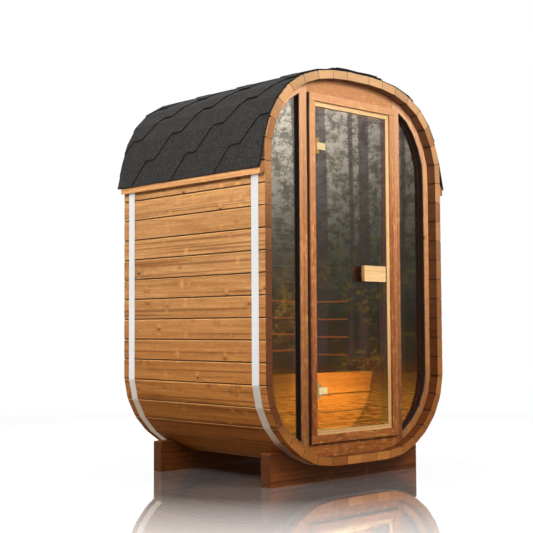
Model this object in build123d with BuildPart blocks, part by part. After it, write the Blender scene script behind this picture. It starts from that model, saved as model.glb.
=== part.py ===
from build123d import *
from math import ceil, cos, radians, sin, tan
import os

os.makedirs("parts", exist_ok=True)

# Outdoor sauna: an oval tube of staves on two cradle bearers, glazed front, shingle roof.
# The origin is on the ground under the middle of the part, +X to the right seen from the
# front, -Y towards the front and +Z up. Sizes are in millimetres.

# Stave tube
tube_depth = 1215
stave_thickness = 45
wall_stave_width = 115
wall_stave_count = 10
corner_stave_width = 119
crown_stave_width = 89
stave_gap = 0.4
stave_chamfer = 5
tube_clearance = 89
crown_tilts = (4, 10, 19, 32, 47, 61, 72, 87)
base_tilts = (1, 8, 24, 35, 48, 63, 78)
floor_tilt_count = 2
ceiling_tilt_count = 3

# Cradle bearers
bearer_length = 1187
bearer_height = 173
bearer_thickness = 71
front_bearer_setback = 107
rear_bearer_setback = 118
bearer_corner = 6
seat_gap = 0.3

# Steel hoops
band_width = 54
band_thickness = 1.5
front_band_setback = 49
rear_band_setback = 49

# Eaves and shingles
eave_drop = 37
eave_overhang = 30
batten_foot_drop = 25
batten_nose_width = 3
batten_nose_drop = 32
batten_seat = 0.3
shingle_thickness = 4.2
shingle_exposure = 147
shingle_edge_setback = 5
shingle_rear_overhang = 18
tab_pitch = 366
tab_edge = 88
first_tab_setback = 40
lap_gap = 0.1
ridge_joint = 2
ridge_cap_half = 165
ridge_cap_count = 8
ridge_cap_lap = 50

# Walls let into the tube
wall_recess = 58
wall_thickness = 45
back_wall_recess = 58
back_wall_thickness = 40
back_board_width = 108

# Posts, trims and side glass
post_width = 55.6
trim_width = 40
outer_trim_thickness = 20
side_glass_thickness = 6
side_glass_cover = 14
glazing_seal_width = 3
glazing_seal_setback = 4

# Door frame and casing
casing_half_width = 352
casing_width = 44
casing_thickness = 13
casing_foot_z = 211
casing_head_z = 2098
casing_round = 3
frame_seal_width = 3
frame_seal_gap = 0.2
frame_recess = 51
frame_depth = 62
frame_hinge_reveal = 4
frame_lock_reveal = 24
frame_head_reveal = 25
frame_sill_reveal = 23
frame_seal_setback = 6
stop_setback = 67
stop_width = 20
stop_thickness = 22

# Door leaf
door_clearance = 5
door_foot_clearance = 9
door_hinge_inset = 11
door_glass_thickness = 8

# Hinges
hinge_axis_inset = 20
hinge_axis_setback = 41.5
hinge_barrel_radius = 8
hinge_height = 86
hinge_clamp_height = 38
hinge_clamp_length = 62
hinge_clamp_thickness = 11
hinge_clamp_round = 6
hinge_jaw_thickness = 6
hinge_jaw_inset = 18
hinge_web_thickness = 5
hinge_web_clearance = 1
hinge_wing_thickness = 3
hinge_pin_radius = 3
hinge_pin_clearance = 0.06
hinge_slack = 0.5
upper_hinge_drop = 214
lower_hinge_rise = 203

# Handles
handle_width = 180
handle_height = 88
handle_thickness = 22
handle_standoff = 21
handle_edge_gap = 56
handle_z = 1128
handle_round = 4
handle_post_radius = 9
handle_post_spacing = 110

# Bench
bench_front_setback = 505
bench_seat_z = 558
bench_board_thickness = 28
bench_board_gap = 8
bench_board_count = 6
bench_nosing = 12
bench_skirt_board = 98
bench_skirt_gap = 8
bench_skirt_count = 4
bench_skirt_thickness = 20
bench_end_gap = 0.5
bench_upright_inset = 230
bench_upright_side = 45
bench_cleat_width = 60
bench_cleat_height = 65

front_y = -(tube_depth + shingle_rear_overhang) / 2
rear_y = front_y + tube_depth


def upright(setback):
    """Plane that faces the front, at a depth measured from the tube's front edge."""
    return Plane.XZ.offset(-(front_y + setback))


def set_down(point, heading, width):
    """Far end of a stave laid from a point, its heading in degrees below level."""
    return point[0] + width * cos(radians(heading)), point[1] - width * sin(radians(heading))


def mitre(before, corner, after, distance):
    """Point to the left of a path's corner, where its two sides meet when moved by a distance."""
    first = (Vector(*corner) - Vector(*before)).normalized()
    second = (Vector(*after) - Vector(*corner)).normalized()
    normal = Vector(-first.Y - second.Y, first.X + second.X)
    normal = normal * (2 * distance / (normal.length * normal.length))
    return corner[0] + normal.X, corner[1] + normal.Y


def grown(outline, distance):
    """Closed clockwise outline, moved outwards by a distance, or inwards if it is negative."""
    ring = [outline[-1]] + outline + [outline[0]]
    return [mitre(*ring[i:i + 3], distance) for i in range(len(outline))]


def slab(outline, front_setback, thickness):
    """Flat piece of the given outline that faces the front."""
    with BuildPart() as piece:
        with BuildSketch(upright(front_setback + thickness)):
            with BuildLine():
                Polyline(*outline, close=True)
            make_face()
        extrude(amount=thickness)
    return piece


def rectangle(x_low, x_high, z_low, z_high):
    """Corners of an upright rectangle, clockwise seen from the front."""
    return [(x_low, z_low), (x_low, z_high), (x_high, z_high), (x_high, z_low)]


def clipped_slab(outline, x_low, x_high, z_low, z_high, front_setback, thickness):
    """Flat piece that fills an outline between two heights and two sides."""
    with BuildPart() as piece:
        with BuildSketch(upright(front_setback + thickness)):
            with BuildLine():
                Polyline(*outline, close=True)
            make_face()
            with Locations(((x_low + x_high) / 2, (z_low + z_high) / 2)):
                Rectangle(x_high - x_low, z_high - z_low, mode=Mode.INTERSECT)
        extrude(amount=thickness)
    return piece


def save(name, *pieces):
    """Write one node, made of one or more pieces that don't touch."""
    solids = [solid for piece in pieces for solid in piece.solids()]
    node = solids[0] if len(solids) == 1 else Compound(children=solids)
    node.label = name
    export_step(node, f"parts/{name}.step")


# The run of staves, clockwise from the middle of the crown: heading and width of each.
wall_half_width = crown_stave_width + corner_stave_width * sum(cos(radians(t)) for t in crown_tilts)
floor_half_width = wall_half_width - corner_stave_width * sum(cos(radians(t)) for t in base_tilts)
right_run = [(0, crown_stave_width)]
right_run += [(tilt, corner_stave_width) for tilt in crown_tilts]
right_run += [(90, wall_stave_width)] * wall_stave_count
right_run += [(180 - tilt, corner_stave_width) for tilt in reversed(base_tilts)]
right_run += [(180, floor_half_width)]
stave_run = right_run + [(360 - heading, width) for heading, width in reversed(right_run)]
crown_z = tube_clearance + sum(width * sin(radians(heading)) for heading, width in right_run)

outer = [(0, crown_z)]
for heading, width in stave_run[:-1]:
    outer.append(set_down(outer[-1], heading, width))
inner = grown(outer, -stave_thickness)
inner_half_width = wall_half_width - stave_thickness
wall_top_z = outer[1 + len(crown_tilts)][1]


def stave(index):
    """One stave with bevelled edges that meet its neighbours and chamfers outside."""
    heading, width = stave_run[index]
    start_turn = (heading - stave_run[index - 1][0]) % 360
    end_turn = (stave_run[(index + 1) % len(stave_run)][0] - heading) % 360
    start_lean = tan(radians(start_turn / 2))
    end_lean = tan(radians(end_turn / 2))
    slit = stave_gap / 2
    x, z = outer[index]
    face = Plane(
        origin=(x, rear_y, z),
        x_dir=(cos(radians(heading)), 0, -sin(radians(heading))),
        z_dir=(0, -1, 0),
    )
    with BuildPart() as piece:
        with BuildSketch(face):
            with BuildLine():
                Polyline(
                    (slit + stave_thickness * start_lean, -stave_thickness),
                    (slit + stave_chamfer * start_lean, -stave_chamfer),
                    (slit + stave_chamfer, 0),
                    (width - slit - stave_chamfer, 0),
                    (width - slit - stave_chamfer * end_lean, -stave_chamfer),
                    (width - slit - stave_thickness * end_lean, -stave_thickness),
                    close=True,
                )
            make_face()
        extrude(amount=tube_depth)
    return piece


def staves(first, count):
    """Neighbouring staves, counted clockwise from the middle of the crown."""
    return [stave((first + i) % len(stave_run)) for i in range(count)]


upper_count = len(crown_tilts) - ceiling_tilt_count
lower_count = len(base_tilts) - floor_tilt_count
first_upper_right = 1 + ceiling_tilt_count
first_right_wall = first_upper_right + upper_count
first_lower_right = first_right_wall + wall_stave_count
first_floor = first_lower_right + lower_count
first_lower_left = first_floor + 2 * (floor_tilt_count + 1)
first_left_wall = first_lower_left + lower_count
first_upper_left = first_left_wall + wall_stave_count
first_ceiling = first_upper_left + upper_count
save("ceiling_staves", *staves(first_ceiling, 2 * (ceiling_tilt_count + 1)))
save("upper_right_staves", *staves(first_upper_right, upper_count))
save("right_wall", *staves(first_right_wall, wall_stave_count))
save("lower_right_staves", *staves(first_lower_right, lower_count))
save("floor_staves", *staves(first_floor, 2 * (floor_tilt_count + 1)))
save("lower_left_staves", *staves(first_lower_left, lower_count))
save("left_wall", *staves(first_left_wall, wall_stave_count))
save("upper_left_staves", *staves(first_upper_left, upper_count))


def bearer(setback):
    """Cradle beam whose top is cut to the tube."""
    with BuildPart() as beam:
        with BuildSketch(upright(setback + bearer_thickness)):
            with Locations((0, bearer_height / 2)):
                Rectangle(bearer_length, bearer_height)
            with BuildLine():
                Polyline(*grown(outer, seat_gap), close=True)
            make_face(mode=Mode.SUBTRACT)
        extrude(amount=bearer_thickness)
        ends = beam.faces().filter_by(Axis.X).sort_by(Axis.X)
        chamfer(ends[0].edges().filter_by(Axis.Y).sort_by(Axis.Z)[-1], length=bearer_corner)
        chamfer(ends[-1].edges().filter_by(Axis.Y).sort_by(Axis.Z)[-1], length=bearer_corner)
    return beam


rear_bearer_front = tube_depth - rear_bearer_setback - bearer_thickness
save("front_bearer", bearer(front_bearer_setback))
save("rear_bearer", bearer(rear_bearer_front))


def band(setback):
    """Flat steel hoop drawn tight round the tube."""
    with BuildPart() as hoop:
        with BuildSketch(upright(setback + band_width)):
            with BuildLine():
                Polyline(*grown(outer, seat_gap + band_thickness), close=True)
            make_face()
            with BuildLine():
                Polyline(*grown(outer, seat_gap), close=True)
            make_face(mode=Mode.SUBTRACT)
        extrude(amount=band_width)
    return hoop


save("front_band", band(front_band_setback))
save("rear_band", band(tube_depth - rear_band_setback - band_width))

# The roof's path runs over the tube from eave to eave, clockwise. It lies on the staves and
# hoops, and leaves them near the eaves, over the battens.
deck = grown(outer, seat_gap + band_thickness + seat_gap)
eave_z = wall_top_z - eave_drop
eave_x = wall_half_width + eave_overhang
right_path = deck[1:1 + len(crown_tilts)] + [(eave_x, eave_z)]
roof_path = [(-x, z) for x, z in reversed(right_path)] + right_path
roof_runs = [(Vector(*end) - Vector(*start)).length for start, end in zip(roof_path, roof_path[1:])]
roof_half_length = sum(roof_runs) / 2


def batten(side):
    """Strip under the eave that holds the lowest shingles off the wall."""
    wall_x = deck[1 + len(crown_tilts)][0]
    outline = [
        (wall_x, eave_z - batten_foot_drop),
        (wall_x, wall_top_z),
        (eave_x - batten_seat, eave_z - batten_seat),
        (eave_x - batten_nose_width, eave_z - batten_nose_drop),
    ]
    outline = [(side * x, z) for x, z in outline]
    return slab(outline, shingle_edge_setback, tube_depth - 2 * shingle_edge_setback)


save("right_eave_batten", batten(1))
save("left_eave_batten", batten(-1))


def over_roof(mark, height):
    """Point over the roof's path, at a length along it and a height above it."""
    travelled = 0
    for i, run in enumerate(roof_runs):
        if mark < travelled + run or i == len(roof_runs) - 1:
            break
        travelled += run
    if i > 0 and mark == travelled:
        return mitre(*roof_path[i - 1:i + 2], height)
    start, end = Vector(*roof_path[i]), Vector(*roof_path[i + 1])
    along = (end - start).normalized()
    spot = start + along * (mark - travelled) + Vector(-along.Y, along.X) * height
    return spot.X, spot.Y


def sheet(start, end, low, high):
    """Section of a sheet on the roof, its under and upper heights given at both ends."""
    corners = [sum(roof_runs[:i]) for i in range(1, len(roof_runs))]
    marks = [start] + [mark for mark in corners if start < mark < end] + [end]
    shares = [(mark - start) / (end - start) for mark in marks]
    under = [over_roof(m, low[0] + (low[1] - low[0]) * s) for m, s in zip(marks, shares)]
    upper = [over_roof(m, high[0] + (high[1] - high[0]) * s) for m, s in zip(marks, shares)]
    return upper + under[::-1]


roof_length = tube_depth + shingle_rear_overhang - shingle_edge_setback
lap_rise = shingle_thickness + lap_gap
cap_start = roof_half_length - ridge_cap_half
course_count = ceil(cap_start / shingle_exposure)


def mirror_twin(piece):
    """The same piece on the other side of the door."""
    with BuildPart() as twin:
        mirror(piece.part, about=Plane.YZ)
    return twin


def course_floor(start, mark):
    """Height of a course's underside over the roof's path, at a length along it.

    Each course laps half of the one below, so it falls by one thickness over each exposure.
    """
    return lap_rise * (2 - (mark - start) / shingle_exposure)


def shingle_course(index):
    """Course counted from the left eave, its lower edge cut into tabs, staggered by half."""
    start = index * shingle_exposure
    end = min(start + 2 * shingle_exposure, roof_half_length - ridge_joint / 2)
    low = [course_floor(start, mark) for mark in (start, end)]
    section = sheet(start, end, low, [z + shingle_thickness for z in low])
    foot_x, foot_z = over_roof(start, 0)
    head_x, head_z = over_roof(start + shingle_exposure, 0)
    rise = Vector(head_x - foot_x, 0, head_z - foot_z)
    face = Plane(origin=(foot_x, rear_y, foot_z), x_dir=(0, -1, 0), z_dir=(-rise.Z, 0, rise.X))
    lean = (tab_pitch / 2 - tab_edge) / rise.length
    reach = lap_rise * 3
    head = tab_edge / 2
    foot = tab_pitch / 2 - head + lean * reach
    first_notch = tube_depth - first_tab_setback + tab_pitch * (0.5 if index % 2 == 0 else 0)
    notches = [(first_notch - i * tab_pitch, 0) for i in range(ceil(tube_depth / tab_pitch) + 1)]
    with BuildPart() as course:
        add(slab(section, shingle_edge_setback, roof_length).part)
        with BuildSketch(face):
            with Locations(*notches):
                Polygon(
                    (-foot, -reach),
                    (foot, -reach),
                    (head, rise.length),
                    (-head, rise.length),
                    align=None,
                )
        extrude(amount=6 * reach, both=True, mode=Mode.SUBTRACT)
    return course


starter_section = sheet(0, shingle_exposure, (0, 0), (2 * lap_rise - lap_gap, lap_rise - lap_gap))
left_courses = [slab(starter_section, shingle_edge_setback, roof_length)]
left_courses += [shingle_course(index) for index in range(course_count)]
save("left_shingles", *left_courses)
save("right_shingles", *[mirror_twin(course) for course in left_courses])

last_start = (course_count - 1) * shingle_exposure
cap_low = [course_floor(last_start, mark) + lap_rise for mark in (cap_start, roof_half_length)]
cap_high = [z + shingle_thickness for z in cap_low]
cap_half = sheet(cap_start, roof_half_length, cap_low, cap_high)
cap_exposure = roof_length / ridge_cap_count
cap_lift = lap_rise * (cap_exposure + ridge_cap_lap) / cap_exposure


def ridge_cap(index):
    """Cap folded over the ridge, counted from the rear, raised over the one behind it."""
    lift = cap_lift if index > 0 else 0
    along = Vector(0, -1, -lift / (cap_exposure + ridge_cap_lap))
    length = cap_exposure + (ridge_cap_lap if index < ridge_cap_count - 1 else 0)
    left_half = [(x, z + lift) for x, z in cap_half]
    right_half = [(-x, z) for x, z in reversed(left_half)]
    with BuildPart() as cap:
        with BuildSketch(upright(shingle_edge_setback + roof_length - index * cap_exposure)):
            for half in (left_half, right_half):
                with BuildLine():
                    Polyline(*half, close=True)
                make_face()
        extrude(amount=length * along.length, dir=along)
    return cap


save("ridge_shingles", *[ridge_cap(index) for index in range(ridge_cap_count)])


def boards(outline, heights, setback, thickness):
    """Level boards between pairs of heights, their ends cut to an outline."""
    reach = wall_half_width
    return [
        clipped_slab(outline, -reach, reach, low, high, setback, thickness)
        for low, high in heights
    ]


# The back wall's boards are let into the tube. The lowest and the highest are ripped to fit.
lining = grown(inner, -seat_gap)
lining_low = min(z for x, z in lining)
lining_high = max(z for x, z in lining)
full_boards = int((lining_high - lining_low) / back_board_width)
first_joint = (lining_low + lining_high - full_boards * back_board_width) / 2
joints = [first_joint + i * back_board_width for i in range(full_boards + 1)]
joints = [lining_low] + [joint for joint in joints if lining_low < joint < lining_high] + [lining_high]
back_heights = [(low + stave_gap / 2, high - stave_gap / 2) for low, high in zip(joints, joints[1:])]
back_wall_setback = tube_depth - back_wall_recess - back_wall_thickness
save("back_wall", *boards(lining, back_heights, back_wall_setback, back_wall_thickness))

# Front wall: posts from floor to crown, panels over and under the door, a curved trim each side
post_inner_x = casing_half_width + frame_seal_width + 2 * frame_seal_gap
post_outer_x = post_inner_x + post_width
for name, side in (("left_post", -1), ("right_post", 1)):
    sides = sorted((side * post_inner_x, side * post_outer_x))
    save(name, clipped_slab(lining, *sides, lining_low, lining_high, wall_recess, wall_thickness))
panel_x = post_inner_x - seat_gap
head_z = casing_head_z + seat_gap
foot_z = casing_foot_z - frame_seal_width - seat_gap
for name, low, high in (("top_panel", head_z, lining_high), ("bottom_panel", lining_low, foot_z)):
    save(name, clipped_slab(lining, -panel_x, panel_x, low, high, wall_recess, wall_thickness))

daylight = grown(lining, -trim_width)
glass_outline = grown(daylight, side_glass_cover)
light_edge_x = post_outer_x + seat_gap
light_top = max(z for x, z in glass_outline)
light_bottom = min(z for x, z in glass_outline)
glass_setback = wall_recess + outer_trim_thickness + seat_gap
inner_trim_setback = glass_setback + side_glass_thickness + seat_gap
inner_trim_thickness = wall_recess + wall_thickness - inner_trim_setback


def curved_trim(side, setback, thickness):
    """Board sawn to the tube's curve, from the post's head round to its foot."""
    with BuildPart() as trim:
        with BuildSketch(upright(setback + thickness)):
            with BuildLine():
                Polyline(*lining, close=True)
            make_face()
            with BuildLine():
                Polyline(*daylight, close=True)
            make_face(mode=Mode.SUBTRACT)
            with Locations((side * (light_edge_x + wall_half_width) / 2, crown_z / 2)):
                Rectangle(wall_half_width - light_edge_x, 2 * crown_z, mode=Mode.INTERSECT)
        extrude(amount=thickness)
    return trim


def side_glass(side):
    """Fixed pane held between the outer and inner trims."""
    near_x = light_edge_x + glazing_seal_width
    sides = sorted((side * near_x, side * wall_half_width))
    return clipped_slab(glass_outline, *sides, light_bottom, light_top, glass_setback, side_glass_thickness)


def glazing_seal(side):
    """Black rubber strip round the pane, against the post and the trim's inner edge."""
    setback = wall_recess + glazing_seal_setback
    thickness = glass_setback - seat_gap - setback
    with BuildPart() as seal:
        with BuildSketch(upright(setback + thickness)):
            with BuildLine():
                Polyline(*grown(daylight, -seat_gap), close=True)
            make_face()
            with Locations((side * (light_edge_x + wall_half_width) / 2, crown_z / 2)):
                Rectangle(wall_half_width - light_edge_x, 2 * crown_z, mode=Mode.INTERSECT)
            offset(amount=-glazing_seal_width, kind=Kind.INTERSECTION, mode=Mode.SUBTRACT)
        extrude(amount=thickness)
    return seal


for name, side in (("left", -1), ("right", 1)):
    outer_trim = curved_trim(side, wall_recess, outer_trim_thickness)
    inner_trim = curved_trim(side, inner_trim_setback, inner_trim_thickness)
    save(f"{name}_trim", outer_trim, inner_trim)
    save(f"{name}_side_glass", side_glass(side))
    save(f"{name}_glazing_seal", glazing_seal(side))

# Door frame: brown casing over a pale frame, with stop strips and a black joint round it
casing_setback = frame_recess - casing_thickness
casing_inner_x = casing_half_width - casing_width
stile_low = casing_foot_z + casing_width
stile_high = casing_head_z - casing_width


def casing(x_low, x_high, z_low, z_high):
    """Casing board with its two long front edges rounded."""
    board = slab(rectangle(x_low, x_high, z_low, z_high), casing_setback, casing_thickness - seat_gap)
    along = Axis.Z if z_high - z_low > x_high - x_low else Axis.X
    with BuildPart() as rounded:
        add(board.part)
        front = rounded.faces().sort_by(Axis.Y)[0]
        fillet(front.edges().filter_by(along), radius=casing_round)
    return rounded


save("casing_left", casing(-casing_half_width, -casing_inner_x, stile_low + seat_gap, stile_high - seat_gap))
save("casing_right", casing(casing_inner_x, casing_half_width, stile_low + seat_gap, stile_high - seat_gap))
save("casing_head", casing(-casing_half_width, casing_half_width, stile_high, casing_head_z))
save("casing_foot", casing(-casing_half_width, casing_half_width, casing_foot_z, stile_low))

frame_left_x = -casing_inner_x + frame_hinge_reveal
frame_right_x = casing_inner_x - frame_lock_reveal
frame_head_z = stile_high - frame_head_reveal
frame_sill_z = stile_low + frame_sill_reveal
frame_pieces = [
    rectangle(-casing_half_width, frame_left_x, frame_sill_z + seat_gap, frame_head_z - seat_gap),
    rectangle(frame_right_x, casing_half_width, frame_sill_z + seat_gap, frame_head_z - seat_gap),
    rectangle(-casing_half_width, casing_half_width, frame_head_z, casing_head_z),
    rectangle(-casing_half_width, casing_half_width, casing_foot_z, frame_sill_z),
]
save("door_frame", *[slab(piece, frame_recess, frame_depth) for piece in frame_pieces])

stop_low = frame_sill_z + seat_gap
stop_high = frame_head_z - seat_gap
stop_left_x = frame_left_x + seat_gap
stop_right_x = frame_right_x - seat_gap
stop_inner_left = stop_left_x + stop_width
stop_inner_right = stop_right_x - stop_width
stop_pieces = [
    rectangle(stop_left_x, stop_inner_left, stop_low, stop_high),
    rectangle(stop_inner_right, stop_right_x, stop_low, stop_high),
    rectangle(stop_inner_left + seat_gap, stop_inner_right - seat_gap, stop_high - stop_width, stop_high),
]
save("door_stops", *[slab(piece, stop_setback, stop_thickness) for piece in stop_pieces])

seal_setback = casing_setback + frame_seal_setback
seal_inner_x = casing_half_width + frame_seal_gap
seal_outer_x = post_inner_x - frame_seal_gap
seal_low = foot_z + seat_gap
seal_inner_low = casing_foot_z - frame_seal_gap
with BuildPart() as frame_seal:
    with BuildSketch(upright(wall_recess + wall_thickness)):
        with BuildLine():
            Polyline(*rectangle(-seal_outer_x, seal_outer_x, seal_low, casing_head_z), close=True)
        make_face()
        with BuildLine():
            Polyline(*rectangle(-seal_inner_x, seal_inner_x, seal_inner_low, crown_z), close=True)
        make_face(mode=Mode.SUBTRACT)
    extrude(amount=wall_recess + wall_thickness - seal_setback)
save("frame_seal", frame_seal)

# Door leaf: one pane hung on two brass barrel hinges, with wooden handles on both faces
leaf_setback = frame_recess
leaf_left_x = -casing_inner_x + door_hinge_inset
leaf_right_x = frame_right_x - door_clearance
leaf_low = frame_sill_z + door_foot_clearance
leaf_high = frame_head_z - door_clearance
leaf_outline = rectangle(leaf_left_x, leaf_right_x, leaf_low, leaf_high)
save("door_glass", slab(leaf_outline, leaf_setback, door_glass_thickness))

hinge_axis_x = -casing_inner_x + hinge_axis_inset
axis_y = front_y + hinge_axis_setback
wing_x = -casing_inner_x + seat_gap
wing_front = casing_setback + casing_round
wing_depth = frame_recess - seat_gap - wing_front


def hinge_plate(z):
    """Frame half of a hinge: a wing against the casing, two barrel ends and the pin."""
    with BuildPart() as plate:
        with BuildSketch(Plane.XY.offset(z - hinge_height / 2)):
            with Locations((hinge_axis_x, axis_y)):
                Circle(hinge_barrel_radius)
            with Locations((wing_x + hinge_wing_thickness / 2, front_y + wing_front + wing_depth / 2)):
                Rectangle(hinge_wing_thickness, wing_depth)
            web_length = hinge_axis_x - wing_x
            with Locations((wing_x + web_length / 2, axis_y)):
                Rectangle(web_length, hinge_web_thickness)
        extrude(amount=hinge_height)
        with BuildSketch(Plane.XY.offset(z - hinge_clamp_height / 2 - hinge_slack)):
            with Locations((hinge_axis_x, axis_y)):
                Circle(hinge_barrel_radius + hinge_web_clearance)
        extrude(amount=hinge_clamp_height + 2 * hinge_slack, mode=Mode.SUBTRACT)
        with Locations((hinge_axis_x, axis_y, z)):
            Cylinder(hinge_pin_radius, hinge_height)
    return plate


def hinge_clamp(z):
    """Leaf half of a hinge: a middle barrel with the outer jaw, and the jaw behind the glass."""
    jaw_right_x = hinge_axis_x + hinge_clamp_length
    jaw_back = front_y + leaf_setback
    with BuildPart() as clamp:
        with BuildSketch(Plane.XY.offset(z - hinge_clamp_height / 2)):
            with Locations((hinge_axis_x, axis_y)):
                Circle(hinge_barrel_radius)
            with Locations((hinge_axis_x + hinge_clamp_length / 2, jaw_back - hinge_clamp_thickness / 2)):
                Rectangle(hinge_clamp_length, hinge_clamp_thickness)
            with Locations((hinge_axis_x, axis_y)):
                Circle(hinge_pin_radius + hinge_pin_clearance, mode=Mode.SUBTRACT)
        extrude(amount=hinge_clamp_height)
        rim = clamp.faces().sort_by(Axis.X)[-1].edges().sort_by(Axis.Y)[0]
        fillet(rim, radius=hinge_clamp_round)
    jaw = rectangle(
        hinge_axis_x + hinge_jaw_inset,
        jaw_right_x,
        z - hinge_clamp_height / 2,
        z + hinge_clamp_height / 2,
    )
    return [clamp, slab(jaw, leaf_setback + door_glass_thickness, hinge_jaw_thickness)]


upper_hinge_z = leaf_high - upper_hinge_drop
lower_hinge_z = leaf_low + lower_hinge_rise
save("hinge_plates", hinge_plate(upper_hinge_z), hinge_plate(lower_hinge_z))
save("hinge_clamps", *hinge_clamp(upper_hinge_z), *hinge_clamp(lower_hinge_z))


def handle(outside):
    """Wooden grip on two short posts, set on one face of the glass."""
    face = leaf_setback if outside else leaf_setback + door_glass_thickness
    away = -1 if outside else 1
    grip_near = face + away * handle_standoff
    grip_front = min(grip_near, grip_near + away * handle_thickness)
    middle = leaf_right_x - handle_edge_gap - handle_width / 2
    with BuildPart() as grip:
        with BuildSketch(upright(grip_front + handle_thickness)):
            with Locations((middle, handle_z)):
                RectangleRounded(handle_width, handle_height, handle_round)
        extrude(amount=handle_thickness)
        with BuildSketch(upright(face)):
            with Locations((middle, handle_z)):
                with GridLocations(handle_post_spacing, 0, 2, 1):
                    Circle(handle_post_radius)
        extrude(amount=-away * handle_standoff)
    return grip


save("outer_handle", handle(outside=True))
save("inner_handle", handle(outside=False))

# Bench: level seat boards on side cleats and two uprights, with a slatted front to the floor
bench_back = back_wall_setback - seat_gap
seat_depth = bench_back - bench_front_setback
seat_board = (seat_depth - (bench_board_count - 1) * bench_board_gap) / bench_board_count
bench_outline = grown(lining, -bench_end_gap)
seat_underside = bench_seat_z - bench_board_thickness
seat_heights = [(seat_underside, bench_seat_z)]
seat_boards = []
for i in range(bench_board_count):
    board_setback = bench_front_setback + i * (seat_board + bench_board_gap)
    seat_boards += boards(bench_outline, seat_heights, board_setback, seat_board)
save("bench_seat", *seat_boards)

skirt_top = seat_underside - seat_gap
skirt_pitch = bench_skirt_board + bench_skirt_gap
skirt_tops = [skirt_top - i * skirt_pitch for i in range(bench_skirt_count)]
skirt_heights = [(top - bench_skirt_board, top) for top in skirt_tops]
skirt_setback = bench_front_setback + bench_nosing
save("bench_front", *boards(bench_outline, skirt_heights, skirt_setback, bench_skirt_thickness))

bench_upright_x = inner_half_width - bench_upright_inset - bench_upright_side
support_setback = skirt_setback + bench_skirt_thickness + seat_gap
supports = []
for side in (-1, 1):
    upright_sides = sorted((side * bench_upright_x, side * (bench_upright_x + bench_upright_side)))
    supports.append(
        clipped_slab(lining, *upright_sides, lining_low, skirt_top, support_setback, bench_upright_side)
    )
    cleat_sides = sorted((side * (inner_half_width - bench_cleat_width), side * wall_half_width))
    cleat_low = skirt_top - bench_cleat_height
    cleat_depth = bench_back - support_setback
    supports.append(
        clipped_slab(lining, *cleat_sides, cleat_low, skirt_top, support_setback, cleat_depth)
    )
save("bench_supports", *supports)
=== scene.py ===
import math
import bpy
from mathutils import Euler, Matrix, Vector


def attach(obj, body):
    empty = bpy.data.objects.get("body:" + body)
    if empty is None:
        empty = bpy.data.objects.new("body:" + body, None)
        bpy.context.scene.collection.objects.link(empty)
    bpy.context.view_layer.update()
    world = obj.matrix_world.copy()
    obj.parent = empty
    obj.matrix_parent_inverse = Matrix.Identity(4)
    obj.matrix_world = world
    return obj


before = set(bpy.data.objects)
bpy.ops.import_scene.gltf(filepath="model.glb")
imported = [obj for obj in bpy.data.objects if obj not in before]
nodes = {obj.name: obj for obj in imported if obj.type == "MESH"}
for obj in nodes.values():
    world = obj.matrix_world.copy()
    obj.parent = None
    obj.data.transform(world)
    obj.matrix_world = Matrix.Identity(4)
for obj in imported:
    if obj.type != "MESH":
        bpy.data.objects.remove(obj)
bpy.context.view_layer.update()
print("frame loaded:", len(nodes), "nodes")

# The tube's run of staves, as in the model: it numbers the boards for their own tone and grain
tube = {
    "crownWidth": 0.089,
    "cornerWidth": 0.119,
    "wallWidth": 0.115,
    "wallCount": 10,
    "crownTilts": (4, 10, 19, 32, 47, 61, 72, 87),
    "baseTilts": (1, 8, 24, 35, 48, 63, 78),
    "clearance": 0.089,
    "middleZ": 1.1,
    "outOfReach": 9.0,
    "wallMargin": 0.3,
    "baseNumber": 20.0,
    "rightNumber": 60.0,
}


def tone(hexText):
    # a written colour, such as "c8945a", as the linear values that shaders take
    parts = [int(hexText[i:i + 2], 16) / 255 for i in (0, 2, 4)]
    return [p / 12.92 if p <= 0.04045 else ((p + 0.055) / 1.055) ** 2.4 for p in parts] + [1]


class Wire:
    # a socket that takes part in sums, so shader maths reads as Python
    def __init__(self, finish, socket):
        self.finish = finish
        self.socket = socket

    def math(self, operation, *others):
        values = dict(enumerate((self, *others)))
        return self.finish.add("ShaderNodeMath", {"operation": operation}, values)

    def __add__(self, other):
        return self.math("ADD", other)

    def __sub__(self, other):
        return self.math("SUBTRACT", other)

    def __mul__(self, other):
        return self.math("MULTIPLY", other)

    def __truediv__(self, other):
        return self.math("DIVIDE", other)

    def __gt__(self, other):
        return self.math("GREATER_THAN", other)

    def __lt__(self, other):
        return self.math("LESS_THAN", other)

    def __rsub__(self, other):
        return self.finish.add("ShaderNodeMath", {"operation": "SUBTRACT"}, {0: other, 1: self})

    __radd__ = __add__
    __rmul__ = __mul__


class Finish:
    # one material while its nodes are laid
    def __init__(self, name, material=None):
        self.material = material or bpy.data.materials.new(name)
        self.material.use_nodes = True
        self.tree = self.material.node_tree
        self.tree.nodes.clear()

    def add(self, kind, settings=None, values=None, output=0):
        node = self.tree.nodes.new(kind)
        for key, setting in (settings or {}).items():
            if key == "stops":
                while len(node.color_ramp.elements) < len(setting):
                    node.color_ramp.elements.new(1)
                for element, (position, colour) in zip(node.color_ramp.elements, setting):
                    element.position = position
                    element.color = colour
            else:
                setattr(node, key, setting)
        for key, value in (values or {}).items():
            if isinstance(value, Wire):
                self.tree.links.new(value.socket, node.inputs[key])
            else:
                node.inputs[key].default_value = value
        return Wire(self, node.outputs[output]) if node.outputs else node


def objectPlace(finish):
    return finish.add("ShaderNodeTexCoord", output="Object")


def split(finish, vector):
    return [finish.add("ShaderNodeSeparateXYZ", None, {0: vector}, i) for i in range(3)]


def join(finish, *values):
    return finish.add("ShaderNodeCombineXYZ", None, dict(enumerate(values)))


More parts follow.
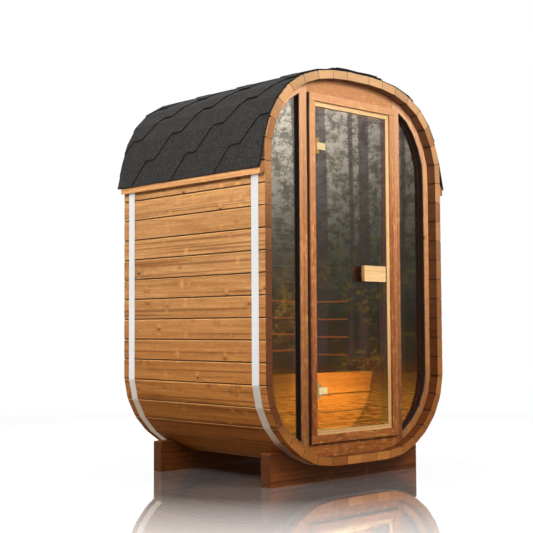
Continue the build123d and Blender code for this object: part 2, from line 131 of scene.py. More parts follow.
def noise(finish, vector, scale=1.0, detail=2.0, roughness=0.5):
    values = {"Vector": vector, "Scale": scale, "Detail": detail, "Roughness": roughness}
    return finish.add("ShaderNodeTexNoise", None, values)


def soft(finish, value, low, high):
    # 0 before low, 1 past high, smooth between; it falls with the value where low is the greater
    values = {"Value": value, "From Min": low, "From Max": high}
    return finish.add("ShaderNodeMapRange", {"interpolation_type": "SMOOTHSTEP"}, values)


def mixTones(finish, share, first, second):
    return finish.add("ShaderNodeMix", {"data_type": "RGBA"}, {0: share, 6: first, 7: second}, 2)


def blend(finish, share, first, second):
    return finish.add("ShaderNodeMixShader", None, {0: share, 1: first, 2: second})


def randomShare(finish, number, salt=0.0):
    # a steady random number between 0 and 1 for each board
    return finish.add("ShaderNodeTexWhiteNoise", {"noise_dimensions": "1D"}, {"W": number + salt})


def bump(finish, height, strength, distance):
    values = {"Height": height, "Strength": strength, "Distance": distance}
    return finish.add("ShaderNodeBump", None, values)


def principled(finish, values):
    shader = finish.add("ShaderNodeBsdfPrincipled", None, values)
    finish.add("ShaderNodeOutputMaterial", None, {"Surface": shader})
    return finish.material


def normalPart(finish, axis):
    # how far a face looks along an axis
    normal = finish.add("ShaderNodeTexCoord", output="Normal")
    return finish.add("ShaderNodeVectorMath", {"operation": "DOT_PRODUCT"}, {0: normal, 1: axis}, 1)


# Stave joints

def tubeJoints():
    # each joint on the right half: a point on the outer face and the way round there
    headings = [(0, tube["crownWidth"])]
    headings += [(tilt, tube["cornerWidth"]) for tilt in tube["crownTilts"]]
    headings += [(90, tube["wallWidth"])] * tube["wallCount"]
    headings += [(180 - tilt, tube["cornerWidth"]) for tilt in reversed(tube["baseTilts"])]
    drop = sum(width * math.sin(math.radians(heading)) for heading, width in headings)
    x, z = 0.0, tube["clearance"] + drop
    joints = []
    for (heading, width), (following, _) in zip(headings, headings[1:] + [(180, 0)]):
        x += width * math.cos(math.radians(heading))
        z -= width * math.sin(math.radians(heading))
        middle = math.radians((heading + following) / 2)
        joints.append((x, z, math.cos(middle), -math.sin(middle)))
    return joints


def tubeBoard(finish, x, y, z):
    # a number for each stave, and how far past its nearest joint a point lies
    joints = tubeJoints()
    crownCount = len(tube["crownTilts"]) + 1
    firstBase = crownCount + tube["wallCount"] - 1
    half = x.math("ABSOLUTE")
    place = join(finish, half, 0.0, z)
    high = z > tube["middleZ"]
    passed = {"top": 0.0, "base": 0.0}
    signed = None
    for zone, chosen in (("top", joints[:crownCount]), ("base", joints[firstBase:])):
        for jointX, jointZ, wayX, wayZ in chosen:
            settings = {"operation": "DOT_PRODUCT"}
            along = finish.add("ShaderNodeVectorMath", settings, {0: place, 1: (wayX, 0, wayZ)}, 1)
            past = along - (jointX * wayX + jointZ * wayZ)
            passed[zone] = (past > 0) + passed[zone]
            # joints of the other zone are pushed out of reach
            past = past + ((1 - high) if zone == "top" else high) * tube["outOfReach"]
            signed = past if signed is None else nearer(signed, past)
    wallTop = joints[crownCount - 1][1]
    level = (wallTop - z) / tube["wallWidth"]
    values = {0: level.math("FLOOR"), 1: -1, 2: tube["wallCount"]}
    wallBoard = finish.add("ShaderNodeClamp", None, values)
    wallPast = (level + 0.5).math("FRACT") * tube["wallWidth"] - tube["wallWidth"] / 2
    onWall = (level > -tube["wallMargin"]) * (level < tube["wallCount"] + tube["wallMargin"])
    signed = nearer(signed, wallPast + (1 - onWall) * tube["outOfReach"])
    ring = passed["top"] * high + (passed["base"] + tube["baseNumber"]) * (1 - high) + wallBoard
    return ring + (x > 0) * tube["rightNumber"], signed


def nearer(first, second):
    # whichever of two signed distances is the shorter
    closer = first.math("ABSOLUTE") < second.math("ABSOLUTE")
    return first * closer + second * (1 - closer)


def levelBoards(first, pitch):
    # boards that lie on one another
    def board(finish, x, y, z):
        level = (first - z) / pitch
        past = (level + 0.5).math("FRACT") * pitch - pitch / 2
        return level.math("FLOOR"), past
    return board


def deepBoards(first, pitch):
    # boards that lie side by side from front to back
    def board(finish, x, y, z):
        level = (first - y) / pitch
        return level.math("FLOOR"), None
    return board


def oneBoard(number):
    # a piece that is a single board
    def board(finish, x, y, z):
        return z * 0 + number, None
    return board


# Wood

# each wood carries a painted shade tone for near the ground and a painted top tone, with its starting
# height, for towards the roof
thermo = {
    "light": tone("bf8f5d"),
    "lighter": tone("cd9d68"),
    "dark": tone("90602f"),
    "ring": tone("6a3f1a"),
    "knot": tone("3d1f0c"),
    "flare": tone("d9a468"),
    "end": tone("b98a5c"),
    "endRing": tone("7c4e28"),
    "endShadeAndCracks": tone("59341a"),
    "endTopLight": tone("b3936c"),
    "paintedTopTone": tone("d8b088"),
    "paintedTopToneFrom": 1.5,
    "mottle": 0.22,
    "paintedLowTone": (0.95, 0.73, 0.4, 1),
    "roughness": 0.6,
}
# painted light: a paler copy of the wall wood, lifting the battens out of the shade under the eaves
thermoBattenLit = dict(
    thermo,
    light=tone("d09a64"),
    lighter=tone("dca872"),
    dark=tone("ac7540"),
    ring=tone("8a5528"),
)
thermoBearer = dict(
    thermo,
    light=tone("724520"),
    lighter=tone("825228"),
    dark=tone("48260e"),
    ring=tone("2f1606"),
    flare=tone("8a5c34"),
    end=tone("5e3a1e"),
    endRing=tone("3f2410"),
)
thermoPost = dict(
    thermo,
    light=tone("c08450"),
    lighter=tone("cc9462"),
    dark=tone("99603a"),
    ring=tone("784727"),
    paintedTopTone=tone("d0a380"),
    paintedTopToneFrom=1.3,
    mottle=0.55,
    paintedLowTone=(0.6, 0.52, 0.42, 1),
)
# painted light: a paler copy of the post wood for the right trim, lifting it out of the shade of the ring
thermoTrimLit = dict(
    thermoPost,
    light=tone("d69c66"),
    lighter=tone("e0aa76"),
    dark=tone("b47a4c"),
)
thermoFront = dict(
    thermo,
    light=tone("b0703f"),
    lighter=tone("bd7d4b"),
    dark=tone("8b4d25"),
    ring=tone("6c3616"),
    paintedTopTone=tone("c79a70"),
    paintedTopToneFrom=1.2,
    mottle=0.62,
    paintedLowTone=(0.52, 0.38, 0.25, 1),
)
# the right casing takes less painted shade near the ground
thermoRight = dict(thermoFront, paintedLowTone=(0.82, 0.74, 0.5, 1))
thermoPanel = dict(
    thermoFront,
    light=tone("96592f"),
    lighter=tone("a3653a"),
    dark=tone("743f1d"),
    paintedTopTone=tone("b5845a"),
)
pale = {
    "light": tone("e3bf8b"),
    "lighter": tone("ebcb9b"),
    "dark": tone("cfa46a"),
    "ring": tone("bd9058"),
    "knot": tone("a87640"),
    "flare": tone("ecd0a4"),
    "end": tone("d8b27e"),
    "endRing": tone("c49a64"),
    "endShadeAndCracks": tone("b58a56"),
    "endTopLight": tone("cdb088"),
    "paintedTopTone": tone("b0946c"),
    "paintedTopToneFrom": 1.5,
    "mottle": 0.2,
    "paintedLowTone": (0.78, 0.76, 0.7, 1),
    "roughness": 0.48,
}
# dark joints, with painted shade under each board's lower edge
joint = {
    "dark": tone("180b04"),
    "above": 0.0062,
    "below": 0.0018,
    "arrisHighlight": 0.011,
    "endHalf": 0.0021,
    "aboveEdge": 0.75,
    "belowEdge": 0.6,
    "wideEdge": 0.6,
    "endEdges": (0.5, 1.6),
    "share": 0.9,
    "arrisHighlightShare": 0.4,
    "endShare": 0.75,
}
# noise that follows the grain: its scale along it, its scale across it, detail and roughness
weave = {
    "wobble": (20.0, 45.0, 2.0, 0.6),
    "ragged": (22.0, 22.0, 2.0, 0.6),
    "field": (0.4, 7.0, 1.0, 0.4),
    "ripple": (2.0, 50.0, 2.0, 0.5),
    "fibre": (8.0, 300.0, 3.0, 0.65),
    "streak": (0.9, 48.0, 4.0, 0.6),
    "band": (0.35, 13.0, 2.0, 0.5),
    "cloud": (2.2, 6.0, 3.0, 0.55),
    "grain": (3.5, 130.0, 2.0, 0.6),
    "mottle": (22.0, 75.0, 3.0, 0.7),
    "thread": (0.35, 55.0, 1.0, 0.3),
}


def strands(finish, way, kind):
    along, one, two = way
    lengthwise, crosswise, detail, roughness = weave[kind]
    stretched = join(finish, along * lengthwise, one * crosswise, two * crosswise)
    return noise(finish, stretched, 1.0, detail, roughness)


knotForm = {
    "alongShare": 0.75,
    "wobble": 0.9,
    "wobbleLeast": 0.55,
    "sizeRange": 0.0075,
    "sizeLeast": 0.0035,
    "heart": (0.55, 1.15),
    "halo": (0.9, 4.2),
    "flareRagged": 0.03,
    "flareAcross": (0.016, 0.036),
    "flareReach": (0.015, 0.045),
    "flaredFrom": 0.3,
}


def knotMarks(finish, way, spacing):
    # knots with a dark heart, a torn rim and pale flares of grain across them
    along, one, two = way
    wobble = strands(finish, way, "wobble") * knotForm["wobble"] + knotForm["wobbleLeast"]
    knotPlace = join(finish, along * knotForm["alongShare"], one, two)
    cells = {"Vector": knotPlace, "Scale": 1 / spacing, "Randomness": 1.0}
    reach = finish.add("ShaderNodeTexVoronoi", None, cells) * spacing
    cell = finish.add("ShaderNodeTexVoronoi", None, cells, "Color")
    chance = finish.add("ShaderNodeSeparateColor", None, {0: cell})
    size = chance * knotForm["sizeRange"] + knotForm["sizeLeast"]
    spread = reach * wobble / size
    knot = 1 - soft(finish, spread, *knotForm["heart"])
    halo = 1 - soft(finish, spread, *knotForm["halo"])
    spot = finish.add("ShaderNodeTexVoronoi", None, cells, "Position")
    apart = finish.add("ShaderNodeVectorMath", {"operation": "SUBTRACT"}, {0: knotPlace, 1: spot})
    ragged = strands(finish, way, "ragged") * knotForm["flareRagged"]
    across = split(finish, apart)[0].math("ABSOLUTE") + ragged
    flare = 1 - soft(finish, across, *knotForm["flareAcross"])
    flare = flare * (1 - soft(finish, reach, *knotForm["flareReach"]))
    flare = flare * (1 - knot) * (chance > knotForm["flaredFrom"])
    return knot, halo, flare


figure = {
    "boardShift": 1.37,
    "redSalt": 7.3,
    "rings": 9.0,
    "fullTurn": 6.2832,
    "bend": 0.7,
    "rippleBend": 3.0,
    "sharpness": 4.0,
    "cloudShare": 0.6,
    "boardShare": 0.6,
    "lighter": (0.3, 0.95),
    "streak": (0.4, 0.68),
    "streakShare": 0.5,
    "lineShare": 0.2,
    "band": (0.4, 0.65),
    "bandShare": 0.25,
    "boardDark": 0.6,
    "boardDarkLeast": 0.6,
    "fibre": (0.52, 0.72),
    "fibreShare": 0.28,
    "ringed": (0.42, 0.62),
    "ringShare": 0.3,
    "redShare": 0.22,
    "grain": (0.38, 0.62),
    "grainShare": 0.42,
    "mottlePale": (0.54, 0.66),
    "mottleDark": (0.34, 0.46),
    "thread": (0.62, 0.68),
    "threadShare": 0.6,
    "flared": (0.3, 0.6),
    "flareShare": 0.7,
    "haloShare": 0.45,
    "knotShare": 0.9,
}


def longGrain(finish, way, wood, boardShade, redder, marks):
    # long figure in the grain's direction, bent round the knots
    knot, halo, flare = marks
    field = strands(finish, way, "field") * figure["rings"] + halo * figure["bend"]
    ripple = strands(finish, way, "ripple") * figure["rippleBend"]
    waves = (field * figure["fullTurn"] + ripple).math("SINE") * 0.5 + 0.5
    line = waves.math("POWER", figure["sharpness"])
    fibre = strands(finish, way, "fibre")
    streak = strands(finish, way, "streak")
    band = strands(finish, way, "band")
    cloud = strands(finish, way, "cloud")
    grain = strands(finish, way, "grain")
    mottle = strands(finish, way, "mottle")
    thread = strands(finish, way, "thread")

    share = cloud * figure["cloudShare"] + boardShade * figure["boardShare"]
    body = mixTones(finish, soft(finish, share, *figure["lighter"]), wood["light"], wood["lighter"])
    share = soft(finish, streak, *figure["streak"]) * figure["streakShare"] + line * figure["lineShare"]
    share = share + soft(finish, band, *figure["band"]) * figure["bandShare"]
    share = share * (boardShade * figure["boardDark"] + figure["boardDarkLeast"])
    paleSpots = soft(finish, mottle, *figure["mottlePale"])
    darkSpots = 1 - soft(finish, mottle, *figure["mottleDark"])
    layers = (
        (share, "dark"),
        (soft(finish, fibre, *figure["fibre"]) * figure["fibreShare"], "ring"),
        (line * soft(finish, cloud, *figure["ringed"]) * figure["ringShare"], "ring"),
        (redder * figure["redShare"], "ring"),
        (soft(finish, grain, *figure["grain"]) * figure["grainShare"], "dark"),
        (paleSpots * wood["mottle"], "flare"),
        (darkSpots * wood["mottle"], "ring"),
        (soft(finish, thread, *figure["thread"]) * figure["threadShare"], "ring"),
        (flare * soft(finish, streak, *figure["flared"]) * figure["flareShare"], "flare"),
        (halo * figure["haloShare"], "ring"),
        (knot * figure["knotShare"], "knot"),
    )
    for layerShare, layerTone in layers:
        body = mixTones(finish, layerShare, body, wood[layerTone])
    return body, {"line": line, "fibre": fibre, "streak": streak, "cloud": cloud}


endGrain = {
    "turned": (0.75, 0.9),
    "shift": 0.16,
    "salts": (3.1, 5.7),
    "poreScale": 190.0,
    "poreRun": 40.0,
    "poreNoise": (4.0, 0.8),
    "ringPitch": 800.0,
    "cloudBend": 11.0,
    "poreBend": 2.0,
    "ringShare": 0.35,
    "pores": (0.42, 0.6),
    "poreShare": 0.7,
    "paler": 0.45,
    # where painted shade browns the ends, and the painted light at their top
    "endShadeUpperEdge": (1.75, 1.2),
    "endShadeLowerEdge": (0.15, 0.4),
    "endShadeEasing": (-0.7, 0.3),
    "endShadeEasingShare": 0.85,
    "shadePainted": 0.95,
    "redShare": 0.2,
    "high": (1.85, 2.25),
    "endTopLightShare": 0.6,
    "crackScale": 95.0,
    "crackNoise": (3.0, 0.7),
    "cracks": (0.6, 0.68),
    "crackShare": 0.8,
}


def endTone(finish, way, wood, number, boardShade, redder, cloud):
    # rings, pores and cracks, with painted shade browning the ends at middle height, most on the left, and
    # painted light making them pale at the top
    along, one, two = way
    x, _, z = split(finish, objectPlace(finish))
    shift = endGrain["shift"]
    shifts = [randomShare(finish, number, salt) * shift - shift / 2 for salt in endGrain["salts"]]
    radius = join(finish, one + shifts[0], two + shifts[1], 0.0)
    radius = finish.add("ShaderNodeVectorMath", {"operation": "LENGTH"}, {0: radius}, 1)
    scale = endGrain["poreScale"]
    porePlace = join(finish, one * scale, two * scale, along * endGrain["poreRun"])
    pores = noise(finish, porePlace, 1.0, *endGrain["poreNoise"])
    rings = radius * endGrain["ringPitch"] + cloud * endGrain["cloudBend"] + pores * endGrain["poreBend"]
    rings = rings.math("SINE") * 0.5 + 0.5
    share = rings * endGrain["ringShare"] + soft(finish, pores, *endGrain["pores"]) * endGrain["poreShare"]
    share = share + boardShade - endGrain["paler"]
    ending = mixTones(finish, share, wood["end"], wood["endRing"])
    # painted shade: the ends go browner between about 0.4 m and 1.2 m high, fading towards the right, mixed
    # with random redder staves
    endShadeEased = soft(finish, x, *endGrain["endShadeEasing"]) * endGrain["endShadeEasingShare"]
    shadePainted = soft(finish, z, *endGrain["endShadeUpperEdge"]) * soft(finish, z, *endGrain["endShadeLowerEdge"])
    shadePainted = shadePainted * (1 - endShadeEased) * endGrain["shadePainted"]
    ending = mixTones(finish, shadePainted + redder * endGrain["redShare"], ending, wood["endShadeAndCracks"])
    # painted light: the ends go pale near the top
    high = soft(finish, z, *endGrain["high"]) * endGrain["endTopLightShare"]
    ending = mixTones(finish, high, ending, wood["endTopLight"])
    scale = endGrain["crackScale"]
    cracks = noise(finish, join(finish, one * scale, two * scale, number), 1.0, *endGrain["crackNoise"])
    cracks = soft(finish, cracks, *endGrain["cracks"]) * endGrain["crackShare"]
    return mixTones(finish, cracks, ending, wood["endShadeAndCracks"])


rails = {
    "footTop": 0.287,
    "headFoot": 2.024,
    "numberStep": 3.0,
}
# painted shade near the ground and the reach of the painted top tone towards the roof
shadePaint = {
    "paintedLowShade": (0.25, 1.35),
    "paintedTopTo": 2.2,
    "paintedTopShare": 0.6,
}
# painted shade for faces that look into the tube: where they start and the dark tone laid on them
paintedInsideShade = {
    "middleZ": 1.165,
    "flatness": 0.65,
    "from": -0.02,
    "tone": tone("451703"),
}
relief = {
    "line": 0.25,
    "fibre": 0.5,
    "streak": 0.4,
    "knot": 0.4,
    "groove": 2.0,
    "strength": 0.35,
    "distance": 0.0012,
    "rougher": 0.14,
    "smoother": 0.06,
}


def timber(name, wood, axis, board, knots=0.1, insideShadeShare=0.0, joints=None, lit=None):
    finish = Finish(name)
    x, y, z = split(finish, objectPlace(finish))
    number, past = board(finish, x, y, z)
    if axis == "frame":
        # stiles with their grain upright between rails with theirs across
        rail = (z < rails["footTop"]) + (z > rails["headFoot"])
        order = (z * (1 - rail) + x * rail, x * (1 - rail) + z * rail, y)
        number = number + rail * rails["numberStep"]
    else:
        order = {"x": (x, y, z), "y": (y, x, z), "z": (z, x, y)}[axis]
    way = (order[0] + number * figure["boardShift"], order[1], order[2])
    boardShade = randomShare(finish, number)
    redder = randomShare(finish, number, figure["redSalt"])
    marks = knotMarks(finish, way, knots)
    knot = marks[0]
    body, grain = longGrain(finish, way, wood, boardShade, redder, marks)
    ending = endTone(finish, way, wood, number, boardShade, redder, grain["cloud"])
    endAxis = {"x": (1, 0, 0), "y": (0, 1, 0), "z": (0, 0, 1), "frame": (0, 0, 0)}[axis]
    facing = soft(finish, normalPart(finish, endAxis).math("ABSOLUTE"), *endGrain["turned"])
    body = mixTones(finish, facing, body, ending)

    # painted shade and light by height: deeper near the ground, and towards the roof the colour goes to a
    # painted top tone, paler on the brown woods and darker on the pale frame
    paintedLowShade = 1 - soft(finish, z, *shadePaint["paintedLowShade"])
    settings = {"data_type": "RGBA", "blend_type": "MULTIPLY"}
    body = finish.add("ShaderNodeMix", settings, {0: paintedLowShade, 6: body, 7: wood["paintedLowTone"]}, 2)
    paintedTop = soft(finish, z, wood["paintedTopToneFrom"], shadePaint["paintedTopTo"]) * shadePaint["paintedTopShare"] * (1 - facing)
    body = mixTones(finish, paintedTop * (1 - knot), body, wood["paintedTopTone"])

    indoors = None
    if insideShadeShare:
        # painted shade: faces that look into the tube are darkened, standing in for the shade inside it
        reachIn = join(finish, x, 0.0, (z - paintedInsideShade["middleZ"]) * paintedInsideShade["flatness"])
        indoors = (normalPart(finish, reachIn) < paintedInsideShade["from"]) * (1 - facing)
        body = mixTones(finish, indoors * insideShadeShare, body, paintedInsideShade["tone"])

    groove = 0.0
    if past:
        # dark joints: the upper board's lower edge on the sides, darkened as painted shade falling under
        # it, and a thin line on end grain
        apartBy = past.math("ABSOLUTE")
        above = 1 - soft(finish, past * -1.0, joints["above"] * joints["aboveEdge"], joints["above"])
        below = 1 - soft(finish, past, joints["below"] * joints["belowEdge"], joints["below"])
        ends = 1 - soft(finish, apartBy, *[joints["endHalf"] * edge for edge in joints["endEdges"]])
        sides = above * (past < 0) + below * (past > 0)
        groove = sides * (1 - facing) + ends * facing * joints["endShare"]
        # painted highlight: a paler band along the lower board's top edge, where its arris catches the
        # light
        arrisHighlight = (1 - soft(finish, past, joints["below"], joints["arrisHighlight"])) * (past > 0) * (1 - facing)
        if indoors:
            wide = 1 - soft(finish, apartBy, joints["above"] * joints["wideEdge"], joints["above"])
            groove = groove.math("MAXIMUM", wide * indoors)
            arrisHighlight = arrisHighlight * (1 - indoors)
        body = mixTones(finish, arrisHighlight * joints["arrisHighlightShare"], body, wood["flare"])
        body = mixTones(finish, groove * joints["share"], body, joints["dark"])

    glow = (0, 0, 0, 1)
    if lit:
        # painted light: a warm glow painted on the joints behind the bench and beside it, standing in for
        # light through them
        seam = 1 - soft(finish, past.math("ABSOLUTE"), lit["half"] * lit["edge"], lit["half"])
        seam = seam * (z > lit["low"]) * (z < lit["high"])
        seam = seam * (y > lit["fromY"]) * (y < lit["toY"]) * (x > lit["fromX"])
        seam = seam * soft(finish, normalPart(finish, lit["facing"]), *lit["turned"])
        seam = seam * (grain["streak"] * lit["streaked"] + lit["least"])
        glow = mixTones(finish, seam, glow, lit["colour"])

    height = grain["line"] * relief["line"] + grain["fibre"] * relief["fibre"]
    height = height + grain["streak"] * relief["streak"] - knot * relief["knot"] - groove * relief["groove"]
    roughness = wood["roughness"] + grain["fibre"] * relief["rougher"] - grain["line"] * relief["smoother"]
    return principled(finish, {
        "Base Color": body,
        "Roughness": roughness,
        "IOR": 1.4,
        "Emission Color": glow,
        "Emission Strength": 1.0,
        "Normal": bump(finish, height, relief["strength"], relief["distance"]),
    })


# Roof

felt = {
    "tones": [(0.2, tone("030303")), (0.6, tone("100f0e")), (0.98, tone("312d2a"))],
    "feltAndShadeTone": tone("030303"),
    "cloud": (7.0, 4.0, 0.6),
    "patch": (60.0, 3.0, 0.7),
    "grainScale": 210.0,
    "grainShare": 0.7,
    "patchShare": 0.35,
    "cloudShare": 0.15,
    "middleZ": 1.35,
    "cutFacing": (0.5, 0.8),
    "cutShare": 0.9,
    "paintedCreaseShadeDistance": 0.014,
    "paintedCreaseShade": (0.62, 0.97),
    "roughness": 0.92,
    "smoother": 0.12,
    "patchRelief": 0.5,
    "strength": 0.6,
    "distance": 0.0012,
}


def shingleFinish():
    finish = Finish("bitumenShingle")
    place = objectPlace(finish)
    x, _, z = split(finish, place)
    values = {"Vector": place, "Scale": felt["grainScale"]}
    grains = finish.add("ShaderNodeTexVoronoi", None, values, "Color")
    grain = finish.add("ShaderNodeSeparateColor", None, {0: grains})
    cloud = noise(finish, place, *felt["cloud"])
    patch = noise(finish, place, *felt["patch"])
    shade = grain * felt["grainShare"] + patch * felt["patchShare"] + cloud * felt["cloudShare"]
    body = finish.add("ShaderNodeValToRGB", {"stops": felt["tones"]}, {0: shade})
    # cut edges and undersides show the black felt, taken near black as painted shade, and the creases along
    # the tabs get painted shade from a short occlusion test
    outwards = join(finish, x, 0.0, z - felt["middleZ"])
    outwards = finish.add("ShaderNodeVectorMath", {"operation": "NORMALIZE"}, {0: outwards})
    feltAndShade = 1 - soft(finish, normalPart(finish, outwards), *felt["cutFacing"])
    settings = {"samples": 6, "only_local": True}
    paintedCreaseShade = finish.add("ShaderNodeAmbientOcclusion", settings, {"Distance": felt["paintedCreaseShadeDistance"]}, "AO")
    feltAndShade = feltAndShade * felt["cutShare"] + (1 - soft(finish, paintedCreaseShade, *felt["paintedCreaseShade"])) * (1 - feltAndShade)
    body = mixTones(finish, feltAndShade, body, felt["feltAndShadeTone"])
    height = grain * (1 - feltAndShade) + patch * felt["patchRelief"]
    return principled(finish, {
        "Base Color": body,
        "Roughness": felt["roughness"] - grain * felt["smoother"],
        "Normal": bump(finish, height, felt["strength"], felt["distance"]),
    })


# Metal, rubber and glass

steel = {
    "tones": (tone("fafaf9"), tone("dededc")),
    # scale of the noise round the hoop and across it
    "brush": (4.0, 900.0),
    "cloud": (3.0, 12.0),
    "brushShare": 0.5,
    "cloudShare": 0.4,
    "roughness": 0.3,
    "brushRough": 0.15,
    "cloudRough": 0.08,
    "strength": 0.08,
    "distance": 0.0005,
}


def steelFinish():
    finish = Finish("stainlessBand")
    x, y, z = split(finish, objectPlace(finish))
    layers = []
    for around, across in (steel["brush"], steel["cloud"]):
        layers.append(noise(finish, join(finish, x * around, y * across, z * around), 1.0, 3.0, 0.6))
    brushed, cloud = layers
    share = brushed * steel["brushShare"] + cloud * steel["cloudShare"]
    roughness = steel["roughness"] + brushed * steel["brushRough"] + cloud * steel["cloudRough"]
    return principled(finish, {
        "Base Color": mixTones(finish, share, *steel["tones"]),
        "Metallic": 1.0,
        "Roughness": roughness,
        "Normal": bump(finish, brushed, steel["strength"], steel["distance"]),
    })


brass = {
    "brush": (300.0, 2.0, 0.6),
    "cloud": (30.0, 3.0, 0.6),
    "cloudShare": 0.6,
    "roughness": 0.2,
    "brushRough": 0.12,
    "strength": 0.05,
    "distance": 0.0004,
}


def brassFinish(name, bright, dull):
    finish = Finish(name)
    place = objectPlace(finish)
    brushed = noise(finish, place, *brass["brush"])
    cloud = noise(finish, place, *brass["cloud"])
    return principled(finish, {
        "Base Color": mixTones(finish, cloud * brass["cloudShare"], tone(bright), tone(dull)),
        "Metallic": 1.0,
        "Roughness": brass["roughness"] + brushed * brass["brushRough"],
        "Normal": bump(finish, brushed, brass["strength"], brass["distance"]),
    })


seal = {
    "tones": (tone("141210"), tone("25211e")),
    "cloud": (90.0, 3.0, 0.6),
    "roughness": 0.5,
    "cloudRough": 0.2,
    "strength": 0.1,
    "distance": 0.0005,
}


def sealFinish():
    finish = Finish("blackSeal")
    cloud = noise(finish, objectPlace(finish), *seal["cloud"])
    return principled(finish, {
        "Base Color": mixTones(finish, cloud, *seal["tones"]),
        "Roughness": seal["roughness"] + cloud * seal["cloudRough"],
        "Normal": bump(finish, cloud, seal["strength"], seal["distance"]),
    })


glass = {
    "through": (0.72, 0.52, 0.3, 1),
    "film": (tone("1d1814"), tone("241e18")),
    "ior": 2.6,
    "mirrorShare": 0.45,
}


def glassFinish():
    finish = Finish("bronzeGlass")
    film = noise(finish, objectPlace(finish), 3.0, 2.0, 0.5)
    clear = finish.add("ShaderNodeBsdfTransparent", None, {"Color": glass["through"]})
    values = {
        "Base Color": mixTones(finish, film, *glass["film"]),
        "Roughness": 0.0,
        "IOR": glass["ior"],
    }
    mirror = finish.add("ShaderNodeBsdfPrincipled", None, values)
    pane = blend(finish, glass["mirrorShare"], clear, mirror)
    finish.add("ShaderNodeOutputMaterial", None, {"Surface": pane})
    return finish.material


def dress(material, *names):
    # the CAD pieces keep their meshes and take this material
    for name in names:
        slots = nodes[name].data.materials
        slots.clear()
        slots.append(material)


# painted light on the inside joints: where it glows and how
wallSeamGlow = {
    "half": 0.0055,
    "low": 0.6,
    "high": 1.06,
    "fromY": 0.1,
    "toY": 0.51,
    "fromX": 0.6,
    "facing": (-1, 0, 0),
    "colour": (1.5, 0.5, 0.1, 1),
    "edge": 0.6,
    "turned": (0.5, 0.8),
    "streaked": 0.8,
    "least": 0.4,
}
backSeamGlow = dict(wallSeamGlow, low=0.64, high=1.04, fromX=-1.0, facing=(0, -1, 0))
staves = timber("tubeStaves", thermo, "y", tubeBoard, insideShadeShare=0.84, joints=joint, lit=wallSeamGlow)
dress(staves, "ceiling_staves", "upper_left_staves", "upper_right_staves", "left_wall", "right_wall")
dress(staves, "lower_left_staves", "lower_right_staves", "floor_staves")
dress(timber("eaveBattens", thermoBattenLit, "y", oneBoard(3)), "left_eave_batten", "right_eave_batten")
dress(timber("bearerBeams", thermoBearer, "x", oneBoard(5)), "front_bearer", "rear_bearer")
dress(timber("leftPostBoards", thermoPost, "z", oneBoard(11)), "left_post", "left_trim")
dress(timber("rightPostBoards", thermoPost, "z", oneBoard(13)), "right_post")
dress(timber("rightTrimBoards", thermoTrimLit, "z", oneBoard(13)), "right_trim")
dress(timber("leftCasingBoard", thermoFront, "z", oneBoard(19)), "casing_left")
dress(timber("rightCasingBoard", thermoRight, "z", oneBoard(17)), "casing_right")
dress(timber("headBoards", thermoFront, "x", oneBoard(23), knots=0.16), "casing_head")
dress(timber("headPanelBoard", thermoPanel, "x", oneBoard(31)), "top_panel")
dress(timber("footBoards", thermoRight, "x", oneBoard(29)), "bottom_panel", "casing_foot")
backBoards = levelBoards(first=0.138, pitch=0.108)
seatBoards = deepBoards(first=-0.1, pitch=0.103)
frontBoards = levelBoards(first=0.0, pitch=0.106)
dress(timber("backBoards", thermo, "x", backBoards, joints=joint, lit=backSeamGlow), "back_wall")
dress(timber("benchBoards", pale, "x", seatBoards), "bench_seat")
dress(timber("benchSlats", pale, "x", frontBoards, joints=joint), "bench_front", "bench_supports")
dress(timber("doorFrame", pale, "frame", oneBoard(31), knots=0.3), "door_frame", "door_stops")
dress(timber("gripBlocks", pale, "x", oneBoard(37), knots=0.4), "outer_handle", "inner_handle")
dress(shingleFinish(), "left_shingles", "right_shingles", "ridge_shingles")
dress(steelFinish(), "front_band", "rear_band")
dress(brassFinish("brightBrass", "f8e2aa", "e2bf78"), "hinge_clamps")
dress(brassFinish("darkBrass", "c8a566", "957540"), "hinge_plates")
# black rubber seals; beside the posts and the casing they also stand in for the shade in the gaps there
dress(sealFinish(), "frame_seal", "left_glazing_seal", "right_glazing_seal")
dress(glassFinish(), "door_glass", "left_side_glass", "right_side_glass")
print("materials laid")

# Small fastenings: button-head screws on both jaws of the glass hinges

screw = {
    "radius": 0.0046,
    "height": 0.0026,
    "rim": 0.0019,
    "recess": 0.0014,
    "bevel": 0.0005,
    "columns": (-0.259, -0.239),
    "levels": (0.49, 1.81),
    "frontY": -0.5732,
    "backY": -0.5504,
    "sides": 24,
    "headFacing": -0.9,
    "bevelSteps": 2,
    "smoothAngle": 35,
}


def buttonScrew():
    # one screw lying at the origin with its head towards -y
    bpy.ops.object.select_all(action="DESELECT")
    bpy.ops.mesh.primitive_cylinder_add(
        vertices=screw["sides"],
        radius=screw["radius"],
        depth=screw["height"],
        rotation=(math.pi / 2, 0, 0),
    )
    master = bpy.context.object
    bpy.ops.object.transform_apply(location=True, rotation=True, scale=True)
    bpy.ops.object.mode_set(mode="EDIT")
    bpy.ops.mesh.select_mode(type="FACE")
    bpy.ops.mesh.select_all(action="DESELECT")
    bpy.ops.object.mode_set(mode="OBJECT")
    for face in master.data.polygons:
        face.select = face.normal.y < screw["headFacing"]
    bpy.ops.object.mode_set(mode="EDIT")
    bpy.ops.mesh.inset(thickness=screw["rim"])
    bpy.ops.mesh.extrude_region_move(TRANSFORM_OT_translate={"value": (0, screw["recess"], 0)})
    bpy.ops.object.mode_set(mode="OBJECT")
    edge = master.modifiers.new("softEdge", "BEVEL")
    edge.width = screw["bevel"]
    edge.segments = screw["bevelSteps"]
    bpy.ops.object.modifier_apply(modifier=edge.name)
    return master


